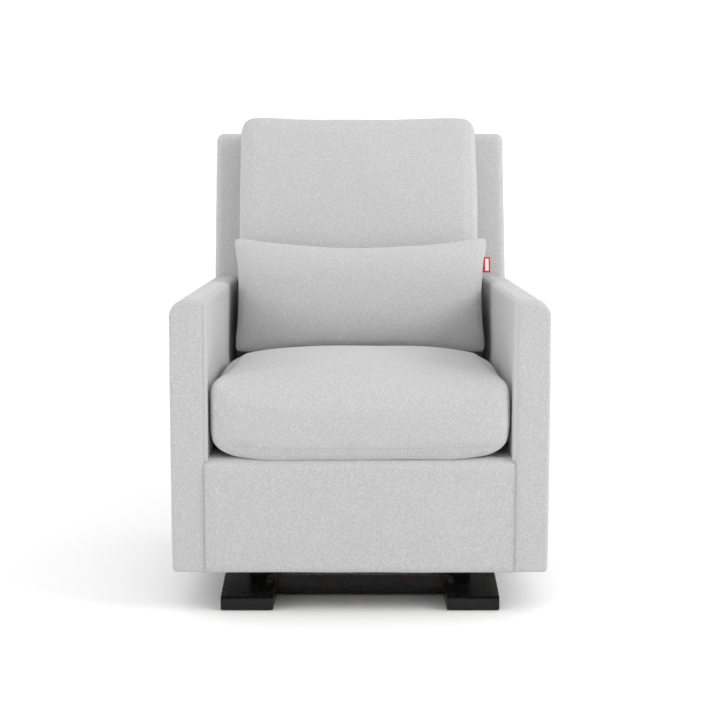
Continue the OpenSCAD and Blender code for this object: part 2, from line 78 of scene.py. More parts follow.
def rear_at(z):
    """Y of the back's rear face at height z."""
    return BACK_HIGH[1] + (z - BACK_HIGH[2]) * math.tan(REAR_RAKE)


# ---------------------------------------------------------------- materials


def node_material(name, colour, roughness, sheen=0.0):
    """A material with its Principled shader, and a helper that adds nodes to it."""
    mat = bpy.data.materials.new(name)
    mat.use_nodes = True
    tree = mat.node_tree
    shader = tree.nodes["Principled BSDF"]
    shader.inputs["Base Color"].default_value = (*colour, 1.0)
    shader.inputs["Roughness"].default_value = roughness
    shader.inputs["Sheen Weight"].default_value = sheen
    shader.inputs["Sheen Roughness"].default_value = 0.5

    def add(kind, inputs=None, **settings):
        made = tree.nodes.new(kind)
        for key, value in settings.items():
            setattr(made, key, value)
        for key, value in (inputs or {}).items():
            if isinstance(value, bpy.types.NodeSocket):
                tree.links.new(value, made.inputs[key])
            else:
                made.inputs[key].default_value = value
        return made

    return mat, tree, shader, add


def object_coords(add, scale):
    """The object's own coordinates, scaled per axis."""
    coords = add("ShaderNodeTexCoord")
    mapping = add("ShaderNodeMapping", {"Vector": coords.outputs["Object"], "Scale": scale})
    return mapping.outputs["Vector"]


def mix_colours(add, factor, first, second):
    """Blends two colours, each a value or a socket, by a factor socket."""
    mixed = add("ShaderNodeMix", data_type="RGBA")
    mixed.inputs["Factor"].default_value = 0.5
    mixed.id_data.links.new(factor, mixed.inputs["Factor"])
    for socket, value in ((6, first), (7, second)):
        if isinstance(value, bpy.types.NodeSocket):
            mixed.id_data.links.new(value, mixed.inputs[socket])
        else:
            mixed.inputs[socket].default_value = (*value, 1.0)
    return mixed.outputs[2]


def curve_range(add, value, low, high, out_low=0.0, out_high=1.0):
    """Maps a value from one range to another, held at both ends."""
    ranged = add("ShaderNodeMapRange", {"Value": value, "From Min": low, "From Max": high,
                                        "To Min": out_low, "To Max": out_high})
    return ranged.outputs["Result"]


def fabric(name, light, dark, thread=0.9, sheen=0.25, bump=0.35):
    """Heathered plain weave: two yarn tones, slubs, a fine thread relief and a soft sheen."""
    mat, tree, shader, add = node_material(name, light, 0.92, sheen)
    even = object_coords(add, (1, 1, 1))
    fibre = add("ShaderNodeTexNoise", {"Vector": even, "Scale": 420.0, "Detail": 3.0, "Roughness": 0.65})
    heather = add("ShaderNodeTexNoise", {"Vector": even, "Scale": 260.0, "Detail": 2.0, "Roughness": 0.6})
    cloud = add("ShaderNodeTexNoise", {"Vector": even, "Scale": 9.0, "Detail": 2.0, "Roughness": 0.5})
    tone = mix_colours(add, curve_range(add, fibre.outputs["Fac"], 0.36, 0.64), dark, light)
    flecks = curve_range(add, heather.outputs["Fac"], 0.40, 0.62)
    darker = tuple(c * 0.93 for c in dark)
    tone = mix_colours(add, curve_range(add, flecks, 0.0, 1.0, 0.45, 1.0), darker, tone)
    wide = curve_range(add, cloud.outputs["Fac"], 0.35, 0.65, 0.94, 1.0)
    tone = mix_colours(add, wide, tuple(c * 0.96 for c in dark), tone)
    tree.links.new(tone, shader.inputs["Base Color"])
    turns = 2 * math.pi / (thread * MM)
    threads = None
    for axis in ((1, 0, 0), (0, 1, 0), (0, 0, 1)):
        dot = add("ShaderNodeVectorMath", {0: even, 1: axis}, operation="DOT_PRODUCT")
        phase = add("ShaderNodeMath", {0: dot.outputs["Value"], 1: turns}, operation="MULTIPLY")
        wave = add("ShaderNodeMath", {0: phase.outputs[0]}, operation="SINE")
        if threads is None:
            threads = wave.outputs[0]
        else:
            threads = add("ShaderNodeMath", {0: threads, 1: wave.outputs[0]}, operation="ADD").outputs[0]
    relief = add("ShaderNodeMath", {0: threads, 1: 0.25, 2: fibre.outputs["Fac"]}, operation="MULTIPLY_ADD")
    bumped = add("ShaderNodeBump", {"Height": relief.outputs[0], "Strength": bump, "Distance": 0.0006})
    slub = add("ShaderNodeBump", {"Height": heather.outputs["Fac"], "Strength": bump * 0.8,
                                  "Distance": 0.0012, "Normal": bumped.outputs["Normal"]})
    tree.links.new(slub.outputs["Normal"], shader.inputs["Normal"])
    rough = curve_range(add, fibre.outputs["Fac"], 0.3, 0.7, 0.86, 0.98)
    tree.links.new(rough, shader.inputs["Roughness"])
    return mat


def hard(name, colour, roughness, metal=0.0, grain=(40, 40, 40), vary=0.25, bump=0.08, shine=0.5):
    """Paint, lacquer, steel, wood or plastic: broken-up colour, roughness and a fine relief."""
    mat, tree, shader, add = node_material(name, colour, roughness)
    shader.inputs["Metallic"].default_value = metal
    shader.inputs["Specular IOR Level"].default_value = shine
    where = object_coords(add, grain)
    large = add("ShaderNodeTexNoise", {"Vector": where, "Scale": 1.0, "Detail": 4.0, "Roughness": 0.6})
    fine = add("ShaderNodeTexNoise", {"Vector": where, "Scale": 12.0, "Detail": 3.0, "Roughness": 0.6})
    factor = curve_range(add, large.outputs["Fac"], 0.3, 0.7)
    darker = tuple(c * (1 - vary) for c in colour)
    brighter = tuple(min(1.0, c * (1 + vary)) for c in colour)
    tree.links.new(mix_colours(add, factor, darker, brighter), shader.inputs["Base Color"])
    rough = curve_range(add, fine.outputs["Fac"], 0.3, 0.7, roughness * 0.85, min(1.0, roughness * 1.2))
    tree.links.new(rough, shader.inputs["Roughness"])
    bumped = add("ShaderNodeBump", {"Height": fine.outputs["Fac"], "Strength": bump, "Distance": 0.0004})
    tree.links.new(bumped.outputs["Normal"], shader.inputs["Normal"])
    return mat


LIGHT_YARN = (0.535, 0.535, 0.536)
DARK_YARN = (0.405, 0.405, 0.406)
cloth = fabric("heather_fabric", LIGHT_YARN, DARK_YARN)
seam_cloth = fabric("seam_fabric", (0.50, 0.50, 0.505), (0.42, 0.42, 0.425), thread=0.6, bump=0.5)
black_cloth = fabric("dust_cloth", (0.02, 0.02, 0.02), (0.012, 0.012, 0.012), thread=1.4, sheen=0.05)
web_cloth = fabric("webbing", (0.05, 0.05, 0.055), (0.03, 0.03, 0.032), thread=2.2, bump=0.8)
foam = fabric("foam", (0.80, 0.76, 0.62), (0.72, 0.68, 0.54), thread=3.0, sheen=0.0, bump=0.9)
label_red = fabric("label_red", (0.60, 0.035, 0.045), (0.50, 0.025, 0.03), thread=0.5, bump=0.3)
label_white = fabric("label_white", (0.80, 0.79, 0.78), (0.70, 0.69, 0.68), thread=0.5, bump=0.3)
black_lacquer = hard("black_lacquer", (0.006, 0.006, 0.006), 0.27, grain=(6, 60, 60), vary=0.35,
                     bump=0.05, shine=0.22)
black_steel = hard("black_steel", (0.012, 0.012, 0.013), 0.42, metal=0.2, grain=(90, 90, 90),
                   bump=0.12, shine=0.3)
bolt_steel = hard("black_bolt", (0.05, 0.05, 0.052), 0.35, metal=0.9, grain=(200, 200, 200), bump=0.1)
pin_steel = hard("pin_steel", (0.58, 0.58, 0.60), 0.26, metal=1.0, grain=(30, 300, 300), bump=0.1)
wire_steel = hard("spring_steel", (0.42, 0.42, 0.44), 0.32, metal=1.0, grain=(300, 60, 300), bump=0.15)
nylon = hard("bearing_nylon", (0.72, 0.71, 0.67), 0.45, grain=(150, 150, 150), vary=0.05, bump=0.05)
rubber = hard("black_rubber", (0.022, 0.022, 0.022), 0.7, grain=(200, 200, 200), bump=0.25)
timber = hard("frame_timber", (0.56, 0.39, 0.21), 0.62, grain=(70, 5, 70), vary=0.3, bump=0.25)

CAD_LOOKS = {
    "left_runner": black_lacquer, "right_runner": black_lacquer,
    "front_crossbar": black_lacquer, "rear_crossbar": black_lacquer,
    "floor_pads": rubber, "stop_bumpers": rubber,
    "base_bolts": bolt_steel, "stand_bolts": bolt_steel,
    "hanger_bolts": bolt_steel, "arm_bolts": bolt_steel,
    "upper_pivot_pins": pin_steel, "upper_pin_caps": pin_steel,
    "lower_pivot_pins": pin_steel, "lower_pin_caps": pin_steel,
    "front_link_bearings": nylon, "rear_link_bearings": nylon,
    "seat_springs": wire_steel, "back_webbing": web_cloth, "dust_cover": black_cloth,
    "back_cushion_core": foam, "seat_cushion_core": foam, "pillow_fill": foam,
}
for end in ("front", "rear"):
    for side in ("left", "right"):
        for part in ("stand", "link", "hanger"):
            CAD_LOOKS[f"{end}_{side}_{part}"] = black_steel
for plain in ("left_side_rail", "right_side_rail", "front_board", "rear_board", "corner_blocks",
              "left_arm_frame", "right_arm_frame", "left_back_post", "right_back_post",
              "left_wing_frame", "right_wing_frame", "back_top_rail", "back_mid_rail", "back_bottom_rail"):
    CAD_LOOKS[plain] = timber

for name, look in CAD_LOOKS.items():
    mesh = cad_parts[name].data
    mesh.materials.clear()
    mesh.materials.append(look)


# ---------------------------------------------------------------- mesh tools


def make_object(name, points, faces, material, smooth=True):
    """A mesh object from its points and faces, with doubles merged and normals outward."""
    mesh = bpy.data.meshes.new(name)
    mesh.from_pydata([tuple(p) for p in points], [], [tuple(f) for f in faces])
    bm = bmesh.new()
    bm.from_mesh(mesh)
    bmesh.ops.remove_doubles(bm, verts=bm.verts, dist=1e-6)
    bmesh.ops.recalc_face_normals(bm, faces=bm.faces)
    bm.to_mesh(mesh)
    bm.free()
    mesh.materials.append(material)
    if smooth:
        mesh.shade_smooth()
    piece = bpy.data.objects.new(name, mesh)
    bpy.context.scene.collection.objects.link(piece)
    return piece


def points_of(piece):
    flat = np.empty(len(piece.data.vertices) * 3)
    piece.data.vertices.foreach_get("co", flat)
    return flat.reshape(-1, 3)


def set_points(piece, points):
    piece.data.vertices.foreach_set("co", np.ascontiguousarray(points, float).ravel())
    piece.data.update()


def normals_of(piece):
    flat = np.empty(len(piece.data.vertices) * 3)
    piece.data.vertex_normals.foreach_get("vector", flat)
    return flat.reshape(-1, 3)


def block_grid(counts):
    """Surface grid of the unit block from -1 to 1: its points and its quads."""
    index = {}
    points = []
    faces = []

    def at(i, j, k):
        if (i, j, k) not in index:
            index[(i, j, k)] = len(points)
            points.append([2 * c / n - 1 for c, n in zip((i, j, k), counts)])
        return index[(i, j, k)]

    for axis in range(3):
        a, b = [(1, 2), (2, 0), (0, 1)][axis]
        for end in (0, counts[axis]):
            for p in range(counts[a]):
                for q in range(counts[b]):
                    quad = []
                    for dp, dq in ((0, 0), (1, 0), (1, 1), (0, 1)):
                        cell = [0, 0, 0]
                        cell[axis], cell[a], cell[b] = end, p + dp, q + dq
                        quad.append(at(*cell))
                    faces.append(quad if end else quad[::-1])
    return np.array(points), faces


def end_radii(unit, ends, axis):
    """Edge radius at each point along one axis, from its low end's and its high end's."""
    low, high = (end(unit) if callable(end) else np.full(len(unit), float(end)) for end in ends)
    return np.where(unit[:, axis] < 0, low, high)


def rounded(unit, low, high, radii):
    """Maps the unit block onto a box with rounded edges.

    radii[axis] is (at the low end, at the high end), each a number or a function of the unit points."""
    size = (np.array(high) - np.array(low)) / 2
    middle = (np.array(high) + np.array(low)) / 2
    radius = np.column_stack([end_radii(unit, radii[axis], axis) for axis in range(3)])
    flat_share = np.clip(1 - radius * 1.25 / (size + 0.25 * radius), 0.05, 0.98)
    inside = np.clip(unit, -flat_share, flat_share)
    core = inside / flat_share * (size - radius) + middle
    reach = np.tan((unit - inside) / (1 - flat_share) * math.pi / 4)
    length = np.linalg.norm(reach, axis=1)
    away = reach * (1 / np.maximum(length, 1e-9))[:, None]
    return core + away * radius


def nearest_on_path(points, path):
    """Distance of each point from a polyline."""
    best = np.full(len(points), 1e9)
    path = np.array(path, float)
    for a, b in zip(path[:-1], path[1:]):
        ab = b - a
        length2 = max(float(ab @ ab), 1e-12)
        t = np.clip(((points - a) @ ab) / length2, 0, 1)
        best = np.minimum(best, np.linalg.norm(points - (a + t[:, None] * ab), axis=1))
    return best


def groove(piece, path, width=0.006, depth=0.0015):
    """Pulls the surface in along a sewn seam."""
    points = points_of(piece)
    away = nearest_on_path(points, path)
    points -= normals_of(piece) * (depth * np.exp(-((away / width) ** 2)))[:, None]
    set_points(piece, points)


def undulate(piece, amount=0.0006, wave=0.09, seed=0):
    """Very slight unevenness of padding under taut cloth."""
    points = points_of(piece)
    rng = np.random.default_rng(seed)
    shift = np.zeros(len(points))
    for _ in range(7):
        direction = rng.normal(size=3)
        direction /= np.linalg.norm(direction)
        length = wave * rng.uniform(0.7, 1.9)
        shift += np.sin(points @ direction * 2 * math.pi / length + rng.uniform(0, 6.28))
    set_points(piece, points + normals_of(piece) * (shift * amount / 3)[:, None])


def seam_line(name, path, radius):
    """The thread line of a seam, as a thin tube."""
    curve = bpy.data.curves.new(name, "CURVE")
    curve.dimensions = "3D"
    curve.bevel_depth = radius
    curve.bevel_resolution = 2
    spline = curve.splines.new("POLY")
    spline.points.add(len(path) - 1)
    for point, place in zip(spline.points, path):
        point.co = (*place, 1.0)
    made = bpy.data.objects.new(name, curve)
    bpy.context.scene.collection.objects.link(made)
    curve.materials.append(seam_cloth)
    return to_mesh(made)


def to_mesh(made):
    """Turns a curve into a mesh object of the same name."""
    graph = bpy.context.evaluated_depsgraph_get()
    mesh = bpy.data.meshes.new_from_object(made.evaluated_get(graph))
    name = made.name
    looks = list(made.data.materials)
    bpy.data.objects.remove(made, do_unlink=True)
    piece = bpy.data.objects.new(name, mesh)
    bpy.context.scene.collection.objects.link(piece)
    mesh.materials.clear()
    for look in looks:
        mesh.materials.append(look)
    mesh.shade_smooth()
    return piece


def join(name, pieces):
    """One mesh object from several, keeping their materials."""
    bpy.ops.object.select_all(action="DESELECT")
    for piece in pieces:
        piece.select_set(True)
    bpy.context.view_layer.objects.active = pieces[0]
    bpy.ops.object.join()
    joined = bpy.context.view_layer.objects.active
    joined.name = name
    joined.data.name = name
    return joined


def snap_path(piece, path, sink=0.0003, step=0.008):
    """A seam's path laid onto the surface of a piece, sunk slightly into it."""
    dense = []
    for a, b in zip(path[:-1], path[1:]):
        a, b = Vector(a), Vector(b)
        count = max(1, int((b - a).length / step))
        dense += [a.lerp(b, i / count) for i in range(count)]
    dense.append(Vector(path[-1]))
    laid = []
    for place in dense:
        found, where, normal, _ = piece.closest_point_on_mesh(place)
        laid.append(where - normal * sink if found else place)
    return laid


def seamed(piece, name, paths, width=0.005, depth=0.0014, radius=0.0007, sink=0.0002):
    """Grooves the seams into a piece and joins their thread lines to it."""
    for path in paths:
        groove(piece, path, width, depth)
    lines = []
    for i, path in enumerate(paths):
        lines.append(seam_line(f"{name}_seam{i}", snap_path(piece, path, sink), radius))
    return join(name, [piece] + lines)


def inflate(piece, pressure, cap, voxel=0.006):
    """Swells a cushion by cloth simulation, with no point moving further than cap, and keeps its width."""
    frames = 12
    stiffness = 18.0
    x = points_of(piece)[:, 0]
    middle = (x.max() + x.min()) / 2
    half_width = (x.max() - x.min()) / 2
    scene = bpy.context.scene
    bpy.ops.object.select_all(action="DESELECT")
    bpy.context.view_layer.objects.active = piece
    piece.select_set(True)
    remesh = piece.modifiers.new("remesh", "REMESH")
    remesh.mode = "VOXEL"
    remesh.voxel_size = voxel
    bpy.ops.object.modifier_apply(modifier="remesh")
    before = points_of(piece)
    cloth_mod = piece.modifiers.new("cloth", "CLOTH")
    settings = cloth_mod.settings
    settings.quality = 6
    settings.mass = 0.3
    settings.tension_stiffness = stiffness
    settings.compression_stiffness = stiffness
    settings.shear_stiffness = 8.0
    settings.bending_stiffness = 0.6
    settings.use_pressure = True
    settings.uniform_pressure_force = pressure
    settings.effector_weights.gravity = 0.0
    cloth_mod.collision_settings.use_collision = False
    cloth_mod.collision_settings.use_self_collision = False
    scene.frame_start = 1
    scene.frame_end = frames
    for number in range(1, frames + 1):
        scene.frame_set(number)
    graph = bpy.context.evaluated_depsgraph_get()
    swollen = piece.evaluated_get(graph)
    flat = np.empty(len(before) * 3)
    swollen.data.vertices.foreach_get("co", flat)
    moved = flat.reshape(-1, 3) - before
    length = np.linalg.norm(moved, axis=1)
    held = np.minimum(1.0, cap / np.maximum(length, 1e-9))
    piece.modifiers.remove(cloth_mod)
    set_points(piece, before + moved * held[:, None])
    scene.frame_set(1)
    smooth = piece.modifiers.new("smooth", "SMOOTH")
    smooth.factor = 0.5
    smooth.iterations = 2
    bpy.ops.object.modifier_apply(modifier="smooth")
    finer = piece.modifiers.new("finer", "SUBSURF")
    finer.levels = 1
    bpy.ops.object.modifier_apply(modifier="finer")
    points = points_of(piece)
    x = points[:, 0]
    points[:, 0] = middle + (x - (x.max() + x.min()) / 2) * 2 * half_width / (x.max() - x.min())
    set_points(piece, points)
    piece.data.shade_smooth()


# ---------------------------------------------------------------- upholstered frame

SEAM_IN = 0.0077      # from an arm's inner face to its seam
TOP_OUT_R, TOP_IN_R, FOOT_R = 0.036, 0.011, 0.009
PANEL_R = 0.024       # roll of the front panel over its top edge
EDGE_R = 0.006        # softened front and rear edges of an arm
MITRE = 0.013         # height of the front panel's mitred corner at an arm's seam
COVER = 0.006         # thickness of the rear and inside back panels


def smoothstep(value, low, high):
    """0 up to low, 1 from high, and a smooth rise between them."""
    t = np.clip((value - low) / (high - low), 0, 1)
    return t * t * (3 - 2 * t)


def arc(centre, radius, start, end, count):
    """Points along an arc between two angles in degrees, both ends included."""
    turn = np.radians(np.linspace(start, end, count + 1))
    return [(centre[0] + radius * math.cos(a), centre[1] + radius * math.sin(a)) for a in turn]


def spaced(path, step):
    """Adds points to a closed 2-D path so that none are further apart than step."""
    out = []
    for a, b in zip(path, path[1:] + [path[0]]):
        count = max(1, math.ceil(math.dist(a, b) / step))
        out += [(a[0] + (b[0] - a[0]) * i / count, a[1] + (b[1] - a[1]) * i / count) for i in range(count)]
    return out


def arm_profile():
    """An arm's outline in X and Z, anticlockwise from its inner foot."""
    path = [(ARM_IN, SKIRT + 0.003), (ARM_IN + 0.003, SKIRT), (ARM_OUT - FOOT_R, SKIRT)]
    path += arc((ARM_OUT - FOOT_R, SKIRT + FOOT_R), FOOT_R, 290, 360, 5)
    path += arc((ARM_OUT - TOP_OUT_R, ARM_TOP - TOP_OUT_R), TOP_OUT_R, 0, 90, 14)
    path += arc((ARM_IN + TOP_IN_R, ARM_TOP - TOP_IN_R), TOP_IN_R, 90, 180, 9)
    return np.array(spaced(path, 0.008))


def loop_normals(loop):
    """Outward unit normals of an anticlockwise closed loop."""
    ahead = np.roll(loop, -1, axis=0) - np.roll(loop, 1, axis=0)
    normal = np.stack([ahead[:, 1], -ahead[:, 0]], axis=1)
    return normal / np.linalg.norm(normal, axis=1)[:, None]


def ring_faces(rings, count):
    """Quads between each ring of points and the next."""
    faces = []
    for r in range(rings - 1):
        for i in range(count):
            j = (i + 1) % count
            faces.append((r * count + i, r * count + j, (r + 1) * count + j, (r + 1) * count + i))
    return faces


def arm(name, side):
    """A padded arm: sides and top wrapped along its length, with softened front and rear faces."""
    loop = arm_profile()
    normal = loop_normals(loop)
    middle = (ARM_IN + ARM_OUT) / 2
    half = (ARM_OUT - ARM_IN) / 2
    upward = smoothstep(normal[:, 1], 0.2, 0.9)
    outward = smoothstep(normal[:, 0], 0.2, 0.9)
    at_foot = 1 - smoothstep(np.hypot(loop[:, 0] - ARM_IN, loop[:, 1] - SKIRT), 0.004, 0.020)
    edge = ((EDGE_R + 0.0045 * upward + 0.001 * outward) * (1 - 0.7 * at_foot))[:, None]
    flat_edge = edge[:, 0]
    medial_z = np.clip(loop[:, 1], SKIRT + half, ARM_TOP - half)
    medial = np.stack([np.full(len(loop), middle), medial_z], axis=1)
    inset_loop = loop - normal * edge
    rings = []
    seam_share = SEAM_IN / half
    shares = [1, 0.7, 0.45, 0.33, 0.27, 0.235, seam_share + 0.012, seam_share, seam_share - 0.012, 0.17,
              0.10]
    for share in shares:
        inward = np.maximum(0.0, (share - edge / half) / (1 - edge / half))
        flat = inset_loop + (medial - inset_loop) * inward
        rings.append(np.column_stack([flat[:, 0], np.full(len(loop), FRONT), flat[:, 1]]))
    for turn in np.radians(np.linspace(0, 90, 6)):
        flat = loop - normal * edge * (1 - math.sin(turn))
        rings.append(np.column_stack([flat[:, 0], FRONT + flat_edge * (1 - math.cos(turn)), flat[:, 1]]))
    rear = np.array([rear_at(z) for z in loop[:, 1]])
    length_steps = 96
    for step in range(1, length_steps):
        along = FRONT + flat_edge + (rear - FRONT - 2 * flat_edge) * step / length_steps
        rings.append(np.column_stack([loop[:, 0], along, loop[:, 1]]))
    for turn in np.radians(np.linspace(0, 90, 6)):
        flat = loop - normal * edge * (1 - math.cos(turn))
        back = np.array([rear_at(z) for z in flat[:, 1]]) - flat_edge * (1 - math.sin(turn))
        rings.append(np.column_stack([flat[:, 0], back, flat[:, 1]]))
    for share in (0.2, 0.4, 0.7, 1.0):
        flat = inset_loop + (medial - inset_loop) * share
        rings.append(np.column_stack([flat[:, 0], np.array([rear_at(z) for z in flat[:, 1]]), flat[:, 1]]))
    piece = make_object(name, np.vstack(rings), ring_faces(len(rings), len(loop)), cloth)
    undulate(piece, 0.0005, 0.11, seed=3)
    seam_x = ARM_IN + SEAM_IN
    top_z = ARM_TOP - 0.0004
    mitre_top = DECK - MITRE
    seam = [(seam_x, FACE_AT_ARM + 0.03, top_z), (seam_x, FRONT + 0.011, top_z),
            (seam_x, FRONT + 0.003, top_z - 0.003), (seam_x, FRONT, top_z - 0.011),
            (seam_x, FRONT, mitre_top)]
    over_top = arc((ARM_OUT - TOP_OUT_R, ARM_TOP - TOP_OUT_R), TOP_OUT_R, 10, 88, 8)
    rear_seam = [(ARM_OUT, rear_at(SKIRT + 0.02) - 0.008, SKIRT + 0.012),
                 (ARM_OUT, rear_at(ARM_TOP) - 0.016, ARM_TOP - 0.040)]
    rear_seam += [(x, rear_at(z) - 0.010, z) for x, z in over_top]
    points = points_of(piece)
    mitre = mitre_top + (seam_x - points[:, 0]) / SEAM_IN * MITRE
    behind_panel = (points[:, 1] < FRONT + 0.004) & (points[:, 0] < seam_x - 0.0002)
    behind_panel &= (points[:, 2] < mitre) & (points[:, 2] > SKIRT + MITRE)
    points[behind_panel, 1] = FRONT + 0.005
    set_points(piece, points)
    piece = seamed(piece, name, [seam, rear_seam], width=0.0035, depth=0.0016, radius=0.0006)
    if side < 0:
        mirror_x(piece)
    return piece


def mirror_x(piece):
    """Turns a right-hand piece into a left-hand one."""
    points = points_of(piece)
    points[:, 0] *= -1
    set_points(piece, points)
    piece.data.flip_normals()


def platform():
    """Front panel rolled over into the seat deck, with its ends lapped over the arms' edges."""
    half = ARM_IN + SEAM_IN - 0.0004
    thick = 0.0065
    proud = FRONT - 0.0006
    roll = arc((proud + PANEL_R, DECK - PANEL_R), PANEL_R, 180, 90, 10)
    rear = face_at(DECK) - 0.002
    outer = [(proud + 0.003, SKIRT), (proud, SKIRT + 0.004)] + roll + [(rear, DECK)]
    inner = [(rear, DECK - 0.02), (FRONT + 0.045, DECK - 0.02), (FRONT + thick, DECK - 0.028),
             (FRONT + thick, SKIRT)]
    loop = np.array(spaced(outer + inner, 0.010))
    lapped = [(-half, 0.002), (-half + 0.0006, 0.0006), (-half + 0.002, 0.0)]   # X, and how far inward
    between = np.linspace(-half + 0.002, half - 0.002, 84)[1:-1]
    columns = lapped + [(x, 0.0) for x in between] + [(-x, inward) for x, inward in reversed(lapped)]
    normal = loop_normals(loop)
    rings = []
    for x, inward in columns:
        flat = loop - normal * inward
        rings.append(np.column_stack([np.full(len(loop), x), flat[:, 0], flat[:, 1]]))
    faces = ring_faces(len(rings), len(loop))
    last = (len(rings) - 1) * len(loop)
    faces.append(tuple(range(len(loop))))
    faces.append(tuple(last + i for i in reversed(range(len(loop)))))
    piece = make_object("front_panel", np.vstack(rings), faces, cloth)
    undulate(piece, 0.0004, 0.12, seed=8)
    return piece


def raked_block(name, half, low, high, front_at, back_at, radii, counts, seed):
    """A rounded block whose front and rear faces lean as given."""
    unit, faces = block_grid(counts)
    depth = (back_at(low) - front_at(low)) / 2
    soft = rounded(unit, (-half, -depth, low), (half, depth, high), radii)
    z = soft[:, 2]
    front_y = front_at(z)
    back_y = back_at(z)
    from_front = soft[:, 1] + depth
    from_back = depth - soft[:, 1]
    share = (soft[:, 1] / depth + 1) / 2
    blend = np.clip((share - 0.25) / 0.5, 0, 1)
    stretched = from_front * ((back_y - front_y) / (2 * depth)) ** blend
    y = (1 - blend) * (front_y + stretched) + blend * (back_y - from_back)
    points = np.column_stack([soft[:, 0], y, z])
    piece = make_object(name, points, faces, cloth)
    undulate(piece, 0.0005, 0.13, seed=seed)
    return piece


def back_shell():
    """The back above the arms, wider than its cushion, with the outside back panel's seam."""
    half, low, high = BACK_HALF, ARM_TOP, BACK_HIGH[2]
    foot = low - 0.012
    piece = raked_block("back_shell", half, foot, high, face_at, rear_at,
                        [(0.018, 0.018), (0.012, 0.009), (0.002, 0.018)], (96, 18, 54), 5)
    inset = 0.012
    seam = []
    for x, z in [(-half + inset, low + 0.004), (-half + inset, high - inset), (half - inset, high - inset),
                 (half - inset, low + 0.004)]:
        seam.append((x, rear_at(z), z))
    return seamed(piece, "back_shell", [seam], width=0.004, depth=0.0016, radius=0.0007)


def slab(name, front_at, back_at, low, high, half, counts, seed):
    """A thin raked block with slightly softened edges."""
    return raked_block(name, half, low, high, front_at, back_at, [(0.0028, 0.0028)] * 3, counts, seed)


def stand_for(piece, body, slot_name, *nodes):
    """Rides a piece on its body and hides the CAD nodes it replaces."""
    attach(piece, body)
    if nodes:
        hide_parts(*nodes)


right_arm = arm("right_arm", 1)
left_arm = arm("left_arm", -1)
front_panel = platform()
shell = back_shell()
between_arms = ARM_IN - 0.0008
slab_top = ARM_TOP + 0.0005
rear_panel = slab("rear_panel", lambda z: rear_at(z) - COVER, rear_at, SKIRT, slab_top, between_arms,
                  (76, 3, 70), 6)
inside_back = slab("inside_back", face_at, lambda z: face_at(z) + COVER, DECK + 0.001, slab_top,
                   between_arms, (76, 3, 40), 7)
for piece, nodes in ((right_arm, ["right_arm_cover"]), (left_arm, ["left_arm_cover"]),
                     (front_panel, ["front_cover", "seat_deck"]), (shell, ["back_cover"]),
                     (rear_panel, ["rear_cover"]), (inside_back, ["inside_back_cover"])):
    stand_for(piece, "chair", "grey_fabric", *nodes)


# ---------------------------------------------------------------- cushions

UP = np.array([0.0, math.sin(BACK_RAKE), math.cos(BACK_RAKE)])     # up the back's front face
OUT = np.array([0.0, -math.cos(BACK_RAKE), math.sin(BACK_RAKE)])   # straight out of it
FACE_ORIGIN = np.array([0.0, FACE_AT_ARM, ARM_TOP])
PILLOW_OUT = 0.206     # the pillow's middle plane, out of the back's face
PILLOW_UP = -0.089     # its middle, up the face from the arm tops
LABEL_END = 0.3054     # outer end of the label


def on_face(x, out, up):
    """Points given across, out of and up the back's front face."""
    x, out, up = np.broadcast_arrays(np.asarray(x, float), np.asarray(out, float), np.asarray(up, float))
    return FACE_ORIGIN + x[..., None] * np.array([1.0, 0, 0]) + out[..., None] * OUT + up[..., None] * UP


SEAT_HALF = 0.3030   # half of its width
SEAT_EDGE = 0.1575   # height of the seat cushion's top edge at its sides
SEAT_CROWN = 0.033   # rise of its middle above that edge


def seat_shape(points):
    """Crown, waterfall front, fall to the rear and lifted lower corners of the seat cushion."""
    x, y, z = points.T.copy()
    half = SEAT_HALF
    low = SEAT_LOW[2]
    across = 1 - np.clip(np.abs(x / half), 0, 1) ** 3.3
    along = (y - FRONT) / (SEAT_HIGH[1] - FRONT)
    level = np.clip((z - low) / SEAT_EDGE, 0, 1)
    swell = (0.30 + 0.70 * smoothstep(along, -0.02, 0.30)) * (1 - 0.50 * smoothstep(along, 0.42, 1.0))
    fall = 1 - 0.17 * smoothstep(along, 0.40, 1.0)
    z = low + (z - low) * fall + SEAT_CROWN * across * swell * level ** 3
    near = 1 - smoothstep(along, 0.0, 0.12)
    z = z + (1 - level) ** 3 * (0.011 * smoothstep(np.abs(x), 0.18, half) - 0.015 * near * across ** 0.5)
    belly = np.sin(level ** 0.8 * math.pi)
    y = y - 0.007 * belly * across ** 0.5 * near
    return np.column_stack([x, y, z])


def seat_seam():
    """The seam low round the cushion's sides and front, with its front corners turned."""
    low = SEAT_LOW[2] + 0.0225
    front_y = FRONT + 0.004
    turn_x, turn_y = 0.060, 0.055   # the corner's reach across and to the rear
    straight = 0.24                 # half of the front run

    def corner(side, angles):
        return [(side * (SEAT_HALF - turn_x + turn_x * math.cos(a)),
                 front_y + turn_y - turn_y * math.sin(a), low + 0.007) for a in np.radians(angles)]

    seam = [(-SEAT_HALF, FRONT + 0.40, low + 0.008), (-SEAT_HALF, FRONT + 0.07, low + 0.008)]
    seam += corner(-1, [20, 45, 70])
    for x in np.linspace(-straight, straight, 13):
        seam.append((x, front_y, low - 0.004 * (1 - (x / straight) ** 2) + 0.004))
    seam += corner(1, [70, 45, 20])
    seam += [(SEAT_HALF, FRONT + 0.07, low + 0.008), (SEAT_HALF, FRONT + 0.40, low + 0.008)]
    return seam


